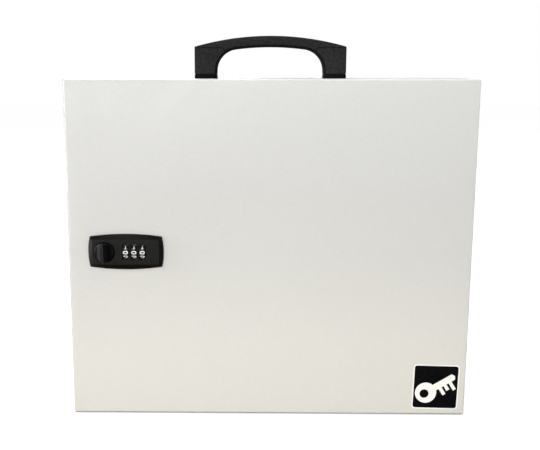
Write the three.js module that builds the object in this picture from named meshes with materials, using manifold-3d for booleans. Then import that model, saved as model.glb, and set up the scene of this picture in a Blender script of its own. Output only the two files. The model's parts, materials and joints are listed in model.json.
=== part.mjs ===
// Portable steel key cabinet: a folded tray with a full overlay door on a piano hinge, a bow handle on top,
// a three-dial combination cam lock in the door and four hook rails inside. Millimetres, +Z up, front towards -Y.
import * as THREE from 'three';
import { ConvexGeometry } from 'three/addons/geometries/ConvexGeometry.js';
import { mergeVertices } from 'three/addons/utils/BufferGeometryUtils.js';
import Module from 'manifold-3d';

const manifold = await Module();
manifold.setup();

// ---- Driving dimensions ----

// Cabinet, outside
const WIDTH = 360;
const HEIGHT = 305;
const DEPTH = 80;
const SHEET = 1.2;
const BEND = 1.8; // outer radius of the folded edges
const LOCK_REACH = 11; // how far the knob stands out of the door
const FRONT = -(DEPTH + LOCK_REACH) / 2 + LOCK_REACH; // the door's outer face, so that the origin is mid-depth
const BACK = FRONT + DEPTH;

// Door pan and tray
const DOOR_DEPTH = 15;
const DOOR_GAP = 0.8;
const TRAY_FRONT = FRONT + DOOR_DEPTH + DOOR_GAP;
const FLANGE = 12.2; // front flange on the left, top and bottom, measured from the outside
const WALL_HOLE = { radius: 3.25, x: 150, low: 18, high: 291 };

// Piano hinge on the right
const HINGE_LENGTH = 284;
const HINGE_RADIUS = 2.3;
const HINGE_CLEAR = 2.75; // half the slot that the barrel turns in
const HINGE_AXIS = { x: WIDTH / 2 + 0.1, y: FRONT + DOOR_DEPTH + DOOR_GAP / 2 };
const LEAF = 0.8;
const LEAF_WIDTH = 18;
const KNUCKLES = 15;
const KNUCKLE_GAP = 0.5;
const HINGE_PIN_RADIUS = 0.95;

// Bow handle
const HANDLE_Y = FRONT + DEPTH / 2;
const HANDLE_WIDTH = 135;
const HANDLE_LEG = 19.8;
const HANDLE_END = 28; // height of the ends
const HANDLE_TOP = 37.4; // height of the crown
const HANDLE_DEPTH = 22;
const HANDLE_ROUND = 2.6;
// Finger gap: straight sides up to a height, then a corner arc each side, then one shallow arc across
const FINGER = { side: 6.75, corner: 19, crown: 240 };

// Hook rails
const RAILS = 4;
const HOOKS = 12;
const RAIL_LOW = 64; // height of the lowest row of hooks
const RAIL_PITCH = 64;
const HOOK_PITCH = 28;
const RAIL_LENGTH = 340;
const RAIL_SHEET = 1;
const RAIL_BELOW = 6;
const RAIL_ABOVE = 24;
const HOOK = { width: 4, reach: 10, tip: 5, thick: 1, window: 14 };
const RIVET_X = 112;
const RIVET_UP = 7;

// Combination lock, placed from the middle of its faceplate
const LOCK = { x: -WIDTH / 2 + 51.7, z: HEIGHT / 2 + 0.9 };
const PLATE = { halfWidth: 33.5, halfHeight: 16, cornerX: 32, cornerZ: 13.7, faceX: 29.6, faceZ: 11.2 };
const PLATE_PROUD = 5;
const PLATE_RIM = 2; // how far the rim slopes back from the face
const PLATE_WALL = 2.2;
const KNOB = { x: -18.9, radius: 8.9, edge: 1.8, ridge: 0.7, scoop: 9 };
const SPINDLE_RADIUS = 3;
const DIAL = { first: 0.1, pitch: 7.5, radius: 7.15, width: 5.1, hub: 6.9, hubRadius: 3.4, digits: 10, proud: 1.1 };
const DIAL_AXLE_RADIUS = 1.25;
const DIAL_Y = FRONT - PLATE_PROUD - DIAL.proud + DIAL.radius;
const WINDOW = { width: 5.7, height: 13.4, corner: 1.2 };
const CUTOUT = { halfWidth: 28.5, halfHeight: 12 };
const CHASSIS = { halfWidth: 28, halfHeight: 11.5, depth: 12.5, wall: 1.6, flange: 3, boss: 18 };
const LOCK_SCREWS = [-7.9, 22.8];
const CAM = { front: 18.5, thick: 2, reach: 24, radius: 7 };

// Door furniture
const LABEL = { width: 42, height: 42.6, side: 6.1, bottom: 5.5, thick: 0.25, tilt: 1.3 }; // tilt in degrees
const CARD = { x: 34, z: 152, width: 210, height: 148, thick: 0.3 };

// ---- Materials ----

const paint = { color: 0xe4e4e0, roughness: 0.55, metalness: 0.1 };
const zinc = { color: 0xb9bcc0, roughness: 0.4, metalness: 0.9 };
const blackNylon = { color: 0x2b2d2f, roughness: 0.6, metalness: 0 };
const lockBlack = { color: 0x1f2021, roughness: 0.5, metalness: 0.1 };
const dialBlack = { color: 0x111111, roughness: 0.35, metalness: 0 };
const labelInk = { color: 0x15171b, roughness: 0.4, metalness: 0 };
const paper = { color: 0xf2f1ea, roughness: 0.9, metalness: 0 };
const clearPlastic = { color: 0xc9cdd0, roughness: 0.3, metalness: 0 };

// ---- Solids ----

function toSolid(geometry) {
  const bare = geometry.clone();
  bare.deleteAttribute('normal');
  bare.deleteAttribute('uv');
  const merged = mergeVertices(bare, 1e-4);
  return new manifold.Manifold(new manifold.Mesh({
    numProp: 3,
    vertProperties: new Float32Array(merged.attributes.position.array),
    triVerts: new Uint32Array(merged.index.array),
  }));
}

function toGeometry(solid) {
  const mesh = solid.getMesh();
  const geometry = new THREE.BufferGeometry();
  geometry.setAttribute('position', new THREE.BufferAttribute(mesh.vertProperties, 3));
  geometry.setIndex(new THREE.BufferAttribute(mesh.triVerts, 1));
  geometry.computeVertexNormals();
  return geometry;
}

// A block between two corners.
function block(x0, x1, y0, y1, z0, z1) {
  const geometry = new THREE.BoxGeometry(x1 - x0, y1 - y0, z1 - z0);
  geometry.translate((x0 + x1) / 2, (y0 + y1) / 2, (z0 + z1) / 2);
  return toSolid(geometry);
}

// A round bar along Y, X or Z, from one station to another.
function barY(radius, x, z, y0, y1, sides = 20) {
  const geometry = new THREE.CylinderGeometry(radius, radius, y1 - y0, sides);
  geometry.translate(x, (y0 + y1) / 2, z);
  return toSolid(geometry);
}

function barX(radius, y, z, x0, x1, sides = 20) {
  const geometry = new THREE.CylinderGeometry(radius, radius, x1 - x0, sides);
  geometry.rotateZ(-Math.PI / 2);
  geometry.translate((x0 + x1) / 2, y, z);
  return toSolid(geometry);
}

function barZ(radius, x, y, z0, z1, sides = 20) {
  const geometry = new THREE.CylinderGeometry(radius, radius, z1 - z0, sides);
  geometry.rotateX(Math.PI / 2);
  geometry.translate(x, y, (z0 + z1) / 2);
  return toSolid(geometry);
}

// A shape drawn in X and Z, extruded from y0 back to y1. A round radius softens both ends' edges.
function plateY(shape, y0, y1, round = 0, steps = 3, curveSegments = 8) {
  const geometry = new THREE.ExtrudeGeometry(shape, {
    depth: y1 - y0 - 2 * round,
    bevelEnabled: round > 0,
    bevelThickness: round,
    bevelSize: round,
    bevelOffset: -round,
    bevelSegments: steps,
    curveSegments,
  });
  geometry.rotateX(Math.PI / 2);
  geometry.translate(0, y1 - round, 0);
  return toSolid(geometry);
}

// A profile drawn in Y and Z, extruded from x0 to x1.
function plateX(shape, x0, x1) {
  const geometry = new THREE.ExtrudeGeometry(shape, { depth: x1 - x0, bevelEnabled: false, curveSegments: 6 });
  geometry.rotateX(Math.PI / 2);
  geometry.rotateZ(Math.PI / 2);
  geometry.translate(x0, 0, 0);
  return toSolid(geometry);
}

function roundedRectangle(x0, x1, z0, z1, radius) {
  const shape = new THREE.Shape();
  shape.moveTo(x0 + radius, z0);
  shape.lineTo(x1 - radius, z0);
  shape.absarc(x1 - radius, z0 + radius, radius, -Math.PI / 2, 0);
  shape.lineTo(x1, z1 - radius);
  shape.absarc(x1 - radius, z1 - radius, radius, 0, Math.PI / 2);
  shape.lineTo(x0 + radius, z1);
  shape.absarc(x0 + radius, z1 - radius, radius, Math.PI / 2, Math.PI);
  shape.lineTo(x0, z0 + radius);
  shape.absarc(x0 + radius, z0 + radius, radius, Math.PI, 1.5 * Math.PI);
  return shape;
}

// A closed box of the cabinet's width and height with rounded edges all round, inset from the outside.
// Its upright corners are a little rounder than its front and back edges.
function softBox(inset, y0, y1, radius) {
  const corner = radius + 0.4;
  const shape = roundedRectangle(-WIDTH / 2 + inset, WIDTH / 2 - inset, inset, HEIGHT - inset, corner);
  return plateY(shape, y0, y1, radius, 3, 3);
}

// ---- Cabinet ----

const hingeLow = (HEIGHT - HINGE_LENGTH) / 2;
const hingeHigh = hingeLow + HINGE_LENGTH;

function hingeSlot() {
  return block(WIDTH / 2 - 2 * SHEET, WIDTH / 2 + 1, HINGE_AXIS.y - HINGE_CLEAR, HINGE_AXIS.y + HINGE_CLEAR,
    hingeLow - 2, hingeHigh + 2);
}

function railHeights() {
  return Array.from({ length: RAILS }, (_, row) => RAIL_LOW + row * RAIL_PITCH);
}

function cabinetBody() {
  let body = softBox(0, TRAY_FRONT, BACK, BEND);
  body = body.subtract(softBox(SHEET, TRAY_FRONT + SHEET, BACK - SHEET, BEND - SHEET));
  body = body.subtract(block(-WIDTH / 2 + FLANGE, WIDTH / 2 - SHEET, TRAY_FRONT - 1, TRAY_FRONT + 2 * SHEET,
    FLANGE, HEIGHT - FLANGE));
  body = body.subtract(hingeSlot());
  for (const x of [-WALL_HOLE.x, WALL_HOLE.x]) {
    for (const z of [WALL_HOLE.low, WALL_HOLE.high]) {
      body = body.subtract(barY(WALL_HOLE.radius, x, z, BACK - 2 * SHEET, BACK + 1));
    }
  }
  for (const side of [-1, 1]) {
    const x = side * (HANDLE_WIDTH - HANDLE_LEG) / 2;
    body = body.subtract(barZ(2.6, x, HANDLE_Y, HEIGHT - 2 * SHEET, HEIGHT + 1));
    for (const z of railHeights()) {
      body = body.subtract(barY(1.95, side * RIVET_X, z + RIVET_UP, BACK - 2 * SHEET, BACK + 1, 12));
    }
  }
  return body;
}

function doorPanel() {
  const inside = softBox(SHEET, FRONT + SHEET, FRONT + DOOR_DEPTH + 10, BEND - SHEET);
  let door = softBox(0, FRONT, FRONT + DOOR_DEPTH + 10, BEND).subtract(inside);
  door = door.subtract(block(-WIDTH, WIDTH, FRONT + DOOR_DEPTH, FRONT + DOOR_DEPTH + 20, -1, HEIGHT + 1));
  door = door.subtract(hingeSlot());
  return door.subtract(block(LOCK.x - CUTOUT.halfWidth, LOCK.x + CUTOUT.halfWidth, FRONT - 1, FRONT + 2 * SHEET,
    LOCK.z - CUTOUT.halfHeight, LOCK.z + CUTOUT.halfHeight));
}

// ---- Piano hinge ----

// One leaf: a strip inside the side wall whose knuckles wrap round the pin. Even knuckles are the tray's.
function hingeLeaf(first, direction, width) {
  const { x, y } = HINGE_AXIS;
  const left = x - HINGE_RADIUS;
  const near = y + direction * (HINGE_CLEAR + 0.15);
  const far = y + direction * width;
  let leaf = block(left, left + LEAF, Math.min(near, far), Math.max(near, far), hingeLow, hingeHigh);
  const pitch = HINGE_LENGTH / KNUCKLES;
  for (let knuckle = first; knuckle < KNUCKLES; knuckle += 2) {
    const low = hingeLow + knuckle * pitch + KNUCKLE_GAP / 2;
    const high = hingeLow + (knuckle + 1) * pitch - KNUCKLE_GAP / 2;
    leaf = leaf.add(block(left, left + LEAF, Math.min(y, near + direction), Math.max(y, near + direction), low, high));
    leaf = leaf.add(barZ(HINGE_RADIUS, x, y, low, high, 16));
  }
  return leaf.subtract(barZ(HINGE_PIN_RADIUS + 0.35, x, y, 0, HEIGHT, 12));
}

function hingePin() {
  const { x, y } = HINGE_AXIS;
  const shaft = barZ(HINGE_PIN_RADIUS, x, y, hingeLow - 0.8, hingeHigh + 0.8, 12);
  return shaft.add(barZ(HINGE_RADIUS - 0.3, x, y, hingeHigh + 0.3, hingeHigh + 1.5, 12));
}

// ---- Handle ----

function handleOutline() {
  const half = HANDLE_WIDTH / 2;
  const inner = half - HANDLE_LEG;
  const rise = HANDLE_TOP - HANDLE_END;
  const crown = (half * half + rise * rise) / (2 * rise); // radius of the crown
  const spread = Math.asin(half / crown);
  const foot = -HANDLE_ROUND - 1;
  const shape = new THREE.Shape();
  shape.moveTo(inner, foot);
  shape.lineTo(half, foot);
  shape.absarc(0, HANDLE_TOP - crown, crown, Math.PI / 2 - spread, Math.PI / 2 + spread);
  shape.lineTo(-half, foot);
  shape.lineTo(-inner, foot);
  const { side, corner, crown: vault } = FINGER;
  const lean = Math.asin((inner - corner) / (vault - corner)); // where the arcs meet, from the upright
  const vaultCentre = side + (corner - vault) * Math.cos(lean);
  shape.absarc(-inner + corner, side, corner, Math.PI, Math.PI / 2 + lean, true);
  shape.absarc(0, vaultCentre, vault, Math.PI / 2 + lean, Math.PI / 2 - lean, true);
  shape.absarc(inner - corner, side, corner, Math.PI / 2 - lean, 0, true);
  shape.lineTo(inner, foot);
  return shape;
}

function handle() {
  const y0 = HANDLE_Y - HANDLE_DEPTH / 2;
  let bow = plateY(handleOutline(), y0, y0 + HANDLE_DEPTH, HANDLE_ROUND, 2, 9).translate(0, 0, HEIGHT);
  bow = bow.subtract(block(-HANDLE_WIDTH, HANDLE_WIDTH, y0 - 1, y0 + HANDLE_DEPTH + 1, HEIGHT - 20, HEIGHT + 0.2));
  for (const side of [-1, 1]) {
    const x = side * (HANDLE_WIDTH - HANDLE_LEG) / 2;
    bow = bow.subtract(barZ(2.5, x, HANDLE_Y, HEIGHT - 1, HEIGHT + 19, 16));
  }
  return bow;
}

function handleScrew(x) {
  const underside = HEIGHT - SHEET;
  const head = barZ(4, x, HANDLE_Y, underside - 4.6, underside - 2, 16);
  return head.add(barZ(2, x, HANDLE_Y, underside - 3, HEIGHT + 18, 16));
}

function handleWasher(x) {
  const underside = HEIGHT - SHEET;
  const disc = barZ(7, x, HANDLE_Y, underside - 1.7, underside - 0.2, 20);
  return disc.subtract(barZ(2.5, x, HANDLE_Y, underside - 5, underside + 1, 16));
}

// ---- Hook rails ----

const railBack = BACK - SHEET - 0.2;
const railFront = railBack - RAIL_SHEET;
const hookX = Array.from({ length: HOOKS }, (_, n) => (n - (HOOKS - 1) / 2) * HOOK_PITCH);

// A tongue punched out of the strip: it runs forward, then turns up at the tip.
function hookProfile(z) {
  const tip = railFront - HOOK.reach;
  const bend = 1.6;
  const shape = new THREE.Shape();
  shape.moveTo(railBack - 0.2, z - HOOK.thick);
  shape.lineTo(railBack - 0.2, z);
  shape.lineTo(tip + HOOK.thick + bend - HOOK.thick, z);
  shape.lineTo(tip + HOOK.thick, z + bend - HOOK.thick);
  shape.lineTo(tip + HOOK.thick, z + HOOK.tip);
  shape.lineTo(tip, z + HOOK.tip);
  shape.lineTo(tip, z + bend - HOOK.thick);
  shape.lineTo(tip + bend, z - HOOK.thick);
  shape.closePath();
  return shape;
}

function hookRail(z) {
  let rail = block(-RAIL_LENGTH / 2, RAIL_LENGTH / 2, railFront, railBack, z - RAIL_BELOW, z + RAIL_ABOVE);
  for (const x of hookX) {
    const half = HOOK.width / 2;
    rail = rail.subtract(block(x - half - 0.4, x + half + 0.4, railFront - 1, railBack + 1, z, z + HOOK.window));
    rail = rail.add(plateX(hookProfile(z), x - half, x + half));
  }
  for (const x of [-RIVET_X, RIVET_X]) {
    rail = rail.subtract(barY(1.95, x, z + RIVET_UP, railFront - 1, railBack + 1, 12));
  }
  return rail;
}

function rivet(x, z) {
  const head = new THREE.LatheGeometry([
    new THREE.Vector2(0, -1.3),
    new THREE.Vector2(1.8, -1),
    new THREE.Vector2(3, -0.2),
    new THREE.Vector2(3, 0),
    new THREE.Vector2(1.6, 0),
    new THREE.Vector2(1.6, BACK - railFront),
    new THREE.Vector2(0, BACK - railFront),
  ], 12);
  head.translate(x, railFront - 0.2, z + RIVET_UP);
  return toSolid(head);
}

function numberStrip(z) {
  const y1 = railFront - 0.1;
  return block(-RAIL_LENGTH / 2 + 2, RAIL_LENGTH / 2 - 2, y1 - 0.3, y1, z + 15.3, z + 23.3);
}

// ---- Combination lock ----

const lockX = (x) => LOCK.x + x;

// The faceplate's barrel-shaped outline: four shallow arcs between its corners.
function plateOutline() {
  const points = [];
  const steps = 8;
  for (let n = 0; n < steps; n += 1) {
    const along = -1 + (2 * n) / steps;
    const bow = 1 - along * along;
    const x = along * PLATE.cornerX;
    const z = PLATE.cornerZ + (PLATE.halfHeight - PLATE.cornerZ) * bow;
    points.push([x, z], [-x, -z]);
  }
  for (let n = 0; n < steps / 2; n += 1) {
    const along = 1 - (4 * n) / steps;
    const x = PLATE.cornerX + (PLATE.halfWidth - PLATE.cornerX) * (1 - along * along);
    points.push([x, along * PLATE.cornerZ], [-x, -along * PLATE.cornerZ]);
  }
  return points;
}

function faceplateBlank() {
  const points = [];
  for (const [x, z] of plateOutline()) {
    points.push(new THREE.Vector3(lockX(x), FRONT - 0.2, LOCK.z + z));
    points.push(new THREE.Vector3(lockX(x), FRONT - PLATE_PROUD + PLATE_RIM, LOCK.z + z));
  }
  for (const x of [-PLATE.faceX, PLATE.faceX]) {
    for (const z of [-PLATE.faceZ, PLATE.faceZ]) {
      points.push(new THREE.Vector3(lockX(x), FRONT - PLATE_PROUD, LOCK.z + z));
    }
  }
  return toSolid(new ConvexGeometry(points));
}

function dialCentre(n) {
  return lockX(DIAL.first + n * DIAL.pitch);
}

function lockFaceplate() {
  const face = FRONT - PLATE_PROUD;
  const rear = FRONT + CHASSIS.depth - CHASSIS.wall - 0.3;
  const innerFace = face + PLATE_WALL;
  let plate = faceplateBlank();
  plate = plate.subtract(block(lockX(-27.8), lockX(27.8), innerFace, FRONT + 1, LOCK.z - 11.2, LOCK.z + 11.2));
  // bearing boss for the spindle, pillars for the two screws, and ribs that carry the dial axle
  plate = plate.add(barY(5.6, lockX(KNOB.x), LOCK.z, innerFace - 0.5, FRONT + 1, 20));
  for (const x of LOCK_SCREWS) {
    plate = plate.add(barY(3, lockX(x), LOCK.z, innerFace - 0.5, rear, 16));
  }
  const ribs = [dialCentre(0) - 5.1, dialCentre(2) + 3.8];
  for (const x of ribs) {
    plate = plate.add(block(x, x + 1.3, innerFace - 0.5, DIAL_Y + 3, LOCK.z - 4, LOCK.z + 4));
  }
  plate = plate.subtract(barX(DIAL_AXLE_RADIUS + 0.35, DIAL_Y, LOCK.z, ribs[0] - 0.8, ribs[1] + 2.1, 12));
  for (const x of LOCK_SCREWS) {
    plate = plate.subtract(barY(1.6, lockX(x), LOCK.z, FRONT - 2, rear + 1, 12));
  }
  plate = plate.subtract(barY(KNOB.radius + 0.6, lockX(KNOB.x), LOCK.z, face - 1, face + 1.2, 40));
  plate = plate.subtract(barY(SPINDLE_RADIUS + 0.35, lockX(KNOB.x), LOCK.z, face - 1, FRONT + 2, 20));
  for (let n = 0; n < 3; n += 1) {
    const x = dialCentre(n);
    const opening = roundedRectangle(x - WINDOW.width / 2, x + WINDOW.width / 2, LOCK.z - WINDOW.height / 2,
      LOCK.z + WINDOW.height / 2, WINDOW.corner);
    plate = plate.subtract(plateY(opening, face - 1, innerFace + 1, 0, 1, 3));
  }
  return plate;
}

function lockChassis() {
  const { halfWidth, halfHeight, depth, wall, flange, boss } = CHASSIS;
  const start = FRONT + SHEET + 0.2;
  const end = FRONT + depth;
  let tray = block(lockX(-halfWidth), lockX(halfWidth), start, end, LOCK.z - halfHeight, LOCK.z + halfHeight);
  tray = tray.add(block(lockX(-halfWidth - flange), lockX(halfWidth + flange), start, start + 2,
    LOCK.z - halfHeight - flange, LOCK.z + halfHeight + flange));
  tray = tray.subtract(block(lockX(-halfWidth + wall), lockX(halfWidth - wall), start - 1, end - wall,
    LOCK.z - halfHeight + wall, LOCK.z + halfHeight - wall));
  tray = tray.add(barY(6.2, lockX(KNOB.x), LOCK.z, end - 1, FRONT + boss, 20));
  tray = tray.subtract(barY(SPINDLE_RADIUS + 0.35, lockX(KNOB.x), LOCK.z, start, FRONT + boss + 1, 20));
  // ledge behind the foot of the detent spring
  tray = tray.add(block(dialCentre(0) - 3, dialCentre(2) + 3, DIAL_Y + DIAL.radius + 1.2, end - 0.5,
    LOCK.z + 7.7, LOCK.z + halfHeight - 1));
  for (const x of LOCK_SCREWS) {
    tray = tray.subtract(barY(1.6, lockX(x), LOCK.z, end - 3, end + 1, 12));
  }
  return tray;
}

function lockScrew(x) {
  const seat = FRONT + CHASSIS.depth + 0.2;
  const head = barY(2.8, lockX(x), LOCK.z, seat, seat + 2, 16);
  return head.add(barY(1.2, lockX(x), LOCK.z, FRONT - 1, seat + 1, 12));
}

function dialAxle() {
  return barX(DIAL_AXLE_RADIUS, DIAL_Y, LOCK.z, dialCentre(0) - 5.4, dialCentre(2) + 5.4, 12);
}

// A number wheel: ten digit pads with a finger groove between each two, on a hub that spaces it from the next.
function dial(n) {
  const shape = new THREE.Shape();
  const pitch = (2 * Math.PI) / DIAL.digits;
  const pad = 0.8 * pitch;
  for (let digit = 0; digit < DIAL.digits; digit += 1) {
    const middle = digit * pitch;
    for (const along of [-0.5, -0.25, 0, 0.25, 0.5]) {
      const angle = middle + along * pad;
      const point = [DIAL.radius * Math.cos(angle), DIAL.radius * Math.sin(angle)];
      if (digit === 0 && along === -0.5) shape.moveTo(...point);
      else shape.lineTo(...point);
    }
    const groove = middle + pitch / 2;
    shape.lineTo((DIAL.radius - 0.5) * Math.cos(groove), (DIAL.radius - 0.5) * Math.sin(groove));
  }
  shape.closePath();
  const rim = new THREE.ExtrudeGeometry(shape, { depth: DIAL.width, bevelEnabled: false });
  rim.rotateZ(Math.PI);
  rim.translate(0, 0, -DIAL.width / 2);
  rim.rotateX(Math.PI / 2);
  rim.rotateZ(Math.PI / 2);
  rim.translate(dialCentre(n), DIAL_Y, LOCK.z);
  const x = dialCentre(n);
  const hub = barX(DIAL.hubRadius, DIAL_Y, LOCK.z, x - DIAL.hub / 2, x + DIAL.hub / 2, 16);
  return toSolid(rim).add(hub).subtract(barX(DIAL_AXLE_RADIUS + 0.35, DIAL_Y, LOCK.z, x - 5, x + 5, 12));
}

// Comb spring: one thin finger behind each dial, joined by a foot.
function detentSpring() {
  const y0 = DIAL_Y + DIAL.radius + 0.5;
  const y1 = y0 + 0.4;
  let comb = block(dialCentre(0) - 2.8, dialCentre(2) + 2.8, y0, y1, LOCK.z + 7.4, LOCK.z + 9.4);
  for (let n = 0; n < 3; n += 1) {
    comb = comb.add(block(dialCentre(n) - 1.4, dialCentre(n) + 1.4, y0, y1, LOCK.z - 2, LOCK.z + 8));
  }
  return comb;
}

// Thumb knob: a disc with two concave scoops that leave an upright ridge to grip.
function thumbKnob() {
  const face = FRONT - PLATE_PROUD;
  const crest = FRONT - LOCK_REACH;
  const x = lockX(KNOB.x);
  let knob = barY(KNOB.radius, x, LOCK.z, crest, face + 1, 40);
  const rise = crest - (face - KNOB.edge);
  const run = KNOB.radius - KNOB.ridge;
  const chord = Math.hypot(run, rise);
  const lift = Math.sqrt(KNOB.scoop ** 2 - (chord / 2) ** 2);
  const offset = (KNOB.radius + KNOB.ridge) / 2 + (-rise / chord) * lift;
  const centreY = (crest + face - KNOB.edge) / 2 - (run / chord) * lift;
  for (const side of [-1, 1]) {
    knob = knob.subtract(barZ(KNOB.scoop, x + side * offset, centreY, LOCK.z - 12, LOCK.z + 12, 48));
  }
  return knob.subtract(barY(SPINDLE_RADIUS + 0.3, x, LOCK.z, face - 1.6, face + 2, 16));
}

function knobSpindle() {
  const x = lockX(KNOB.x);
  const square = FRONT + CAM.front - 0.3;
  const thread = FRONT + CAM.front + CAM.thick + 0.4;
  const shaft = barY(SPINDLE_RADIUS, x, LOCK.z, FRONT - PLATE_PROUD - 1.4, square, 20);
  const drive = block(x - 1.9, x + 1.9, square - 1, thread, LOCK.z - 1.9, LOCK.z + 1.9);
  return shaft.add(drive).add(barY(1.8, x, LOCK.z, thread - 0.5, thread + 6, 12));
}

// The cam stands upright when the lock is open, and points at the side wall when it is locked.
function lockCam() {
  const x = lockX(KNOB.x);
  const shape = new THREE.Shape();
  shape.moveTo(x + CAM.radius, LOCK.z);
  shape.lineTo(x + CAM.radius - 1, LOCK.z + CAM.reach - 2);
  shape.lineTo(x + CAM.radius - 3, LOCK.z + CAM.reach);
  shape.lineTo(x - CAM.radius + 3, LOCK.z + CAM.reach);
  shape.lineTo(x - CAM.radius + 1, LOCK.z + CAM.reach - 2);
  shape.lineTo(x - CAM.radius, LOCK.z);
  shape.absarc(x, LOCK.z, CAM.radius, Math.PI, 2 * Math.PI);
  const y0 = FRONT + CAM.front;
  const cam = plateY(shape, y0, y0 + CAM.thick, 0, 1, 10);
  return cam.subtract(block(x - 2.2, x + 2.2, y0 - 1, y0 + CAM.thick + 1, LOCK.z - 2.2, LOCK.z + 2.2));
}

function camWasher() {
  const y0 = FRONT + CAM.front + CAM.thick + 0.2;
  const x = lockX(KNOB.x);
  return barY(5.5, x, LOCK.z, y0, y0 + 1, 20).subtract(barY(2.75, x, LOCK.z, y0 - 1, y0 + 2, 16));
}

function camNut() {
  const y0 = FRONT + CAM.front + CAM.thick + 1.4;
  const x = lockX(KNOB.x);
  return barY(4.6, x, LOCK.z, y0, y0 + 3.2, 6).subtract(barY(2.15, x, LOCK.z, y0 - 1, y0 + 5, 12));
}

// ---- Door furniture ----

function frontLabel() {
  const x1 = WIDTH / 2 - LABEL.side;
  const centre = [x1 - LABEL.width / 2, 0, LABEL.bottom + LABEL.height / 2];
  const shape = roundedRectangle(-LABEL.width / 2, LABEL.width / 2, -LABEL.height / 2, LABEL.height / 2, 3.2);
  const sticker = plateY(shape, FRONT - 0.1 - LABEL.thick, FRONT - 0.1, 0, 1, 4);
  return sticker.rotate([0, LABEL.tilt, 0]).translate(centre);
}

const pocketFront = FRONT + SHEET + 0.2;

// A pocket for the index card: a back with lips on three sides, open at the top.
function cardPocket() {
  const half = CARD.width / 2 + 2;
  const low = CARD.z - CARD.height / 2 - 2;
  const high = CARD.z + CARD.height / 2 - 12;
  const depth = 2.6;
  let pocket = block(CARD.x - half, CARD.x + half, pocketFront, pocketFront + depth, low, high);
  pocket = pocket.subtract(block(CARD.x - half + 1.2, CARD.x + half - 1.2, pocketFront + 0.8,
    pocketFront + depth - 0.8, low + 1.2, high + 1));
  return pocket.subtract(block(CARD.x - half + 7, CARD.x + half - 7, pocketFront + 1, pocketFront + depth + 1,
    low + 7, high + 1));
}

function indexCard() {
  const y0 = pocketFront + 1.1;
  return block(CARD.x - CARD.width / 2, CARD.x + CARD.width / 2, y0, y0 + CARD.thick,
    CARD.z - CARD.height / 2, CARD.z + CARD.height / 2);
}

// ---- Assembly ----

const cabinet = new THREE.Group();

function place(name, solid, finish) {
  const mesh = new THREE.Mesh(toGeometry(solid), new THREE.MeshStandardMaterial(finish));
  mesh.name = name;
  cabinet.add(mesh);
}

place('cabinet_body', cabinetBody(), paint);
place('door_panel', doorPanel(), paint);
place('hinge_leaf_body', hingeLeaf(0, 1, LEAF_WIDTH), zinc);
place('hinge_leaf_door', hingeLeaf(1, -1, DOOR_DEPTH - 2), zinc);
place('hinge_pin', hingePin(), zinc);

place('handle', handle(), blackNylon);
for (const side of [-1, 1]) {
  const hand = side < 0 ? 'left' : 'right';
  const x = side * (HANDLE_WIDTH - HANDLE_LEG) / 2;
  place(`handle_screw_${hand}`, handleScrew(x), zinc);
  place(`handle_washer_${hand}`, handleWasher(x), zinc);
}

railHeights().forEach((z, row) => {
  place(`hook_rail_${row + 1}`, hookRail(z), paint);
  place(`number_strip_${row + 1}`, numberStrip(z), paper);
  place(`rail_rivet_${row + 1}_left`, rivet(-RIVET_X, z), zinc);
  place(`rail_rivet_${row + 1}_right`, rivet(RIVET_X, z), zinc);
});

place('lock_faceplate', lockFaceplate(), lockBlack);
place('lock_chassis', lockChassis(), lockBlack);
LOCK_SCREWS.forEach((x, n) => place(`lock_screw_${n + 1}`, lockScrew(x), zinc));
place('dial_axle', dialAxle(), zinc);
for (let n = 0; n < 3; n += 1) {
  place(`dial_${n + 1}`, dial(n), dialBlack);
}
place('detent_spring', detentSpring(), zinc);
place('thumb_knob', thumbKnob(), lockBlack);
place('knob_spindle', knobSpindle(), zinc);
place('lock_cam', lockCam(), zinc);
place('cam_washer', camWasher(), zinc);
place('cam_nut', camNut(), zinc);

place('front_label', frontLabel(), labelInk);
place('card_pocket', cardPocket(), clearPlastic);
place('index_card', indexCard(), paper);

export default cabinet;
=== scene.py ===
"""A portable steel key cabinet: powder-coated sheet, a bow handle, a three-dial lock and hook rails."""
import json
import math

import bmesh
import bpy
from mathutils import Matrix, Vector


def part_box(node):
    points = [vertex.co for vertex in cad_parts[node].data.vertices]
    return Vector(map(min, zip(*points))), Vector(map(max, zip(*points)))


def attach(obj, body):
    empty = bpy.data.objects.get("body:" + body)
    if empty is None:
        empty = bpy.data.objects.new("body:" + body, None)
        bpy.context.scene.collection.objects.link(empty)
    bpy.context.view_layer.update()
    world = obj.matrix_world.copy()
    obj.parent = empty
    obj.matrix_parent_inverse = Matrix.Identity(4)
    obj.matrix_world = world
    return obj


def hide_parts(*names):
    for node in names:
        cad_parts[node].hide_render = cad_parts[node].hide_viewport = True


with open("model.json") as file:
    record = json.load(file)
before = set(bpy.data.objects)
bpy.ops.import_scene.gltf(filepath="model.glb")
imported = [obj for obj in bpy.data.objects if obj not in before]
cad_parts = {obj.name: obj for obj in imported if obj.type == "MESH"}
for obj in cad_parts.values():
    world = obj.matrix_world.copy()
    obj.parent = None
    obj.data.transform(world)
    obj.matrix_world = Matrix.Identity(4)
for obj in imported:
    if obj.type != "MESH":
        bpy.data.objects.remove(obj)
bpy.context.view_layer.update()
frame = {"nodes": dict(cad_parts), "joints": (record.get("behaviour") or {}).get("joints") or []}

MM = 0.001

# ---- Places read from the frame, and the sizes that several pieces share ----

def centre_of(node):
    low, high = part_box(node)
    return (low + high) / 2


DOOR_LOW, DOOR_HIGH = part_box("door_panel")
TRAY_LOW, TRAY_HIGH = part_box("cabinet_body")
HANDLE_LOW, HANDLE_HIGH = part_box("handle")
HINGES = {joint["name"]: joint for joint in frame["joints"]}

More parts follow.
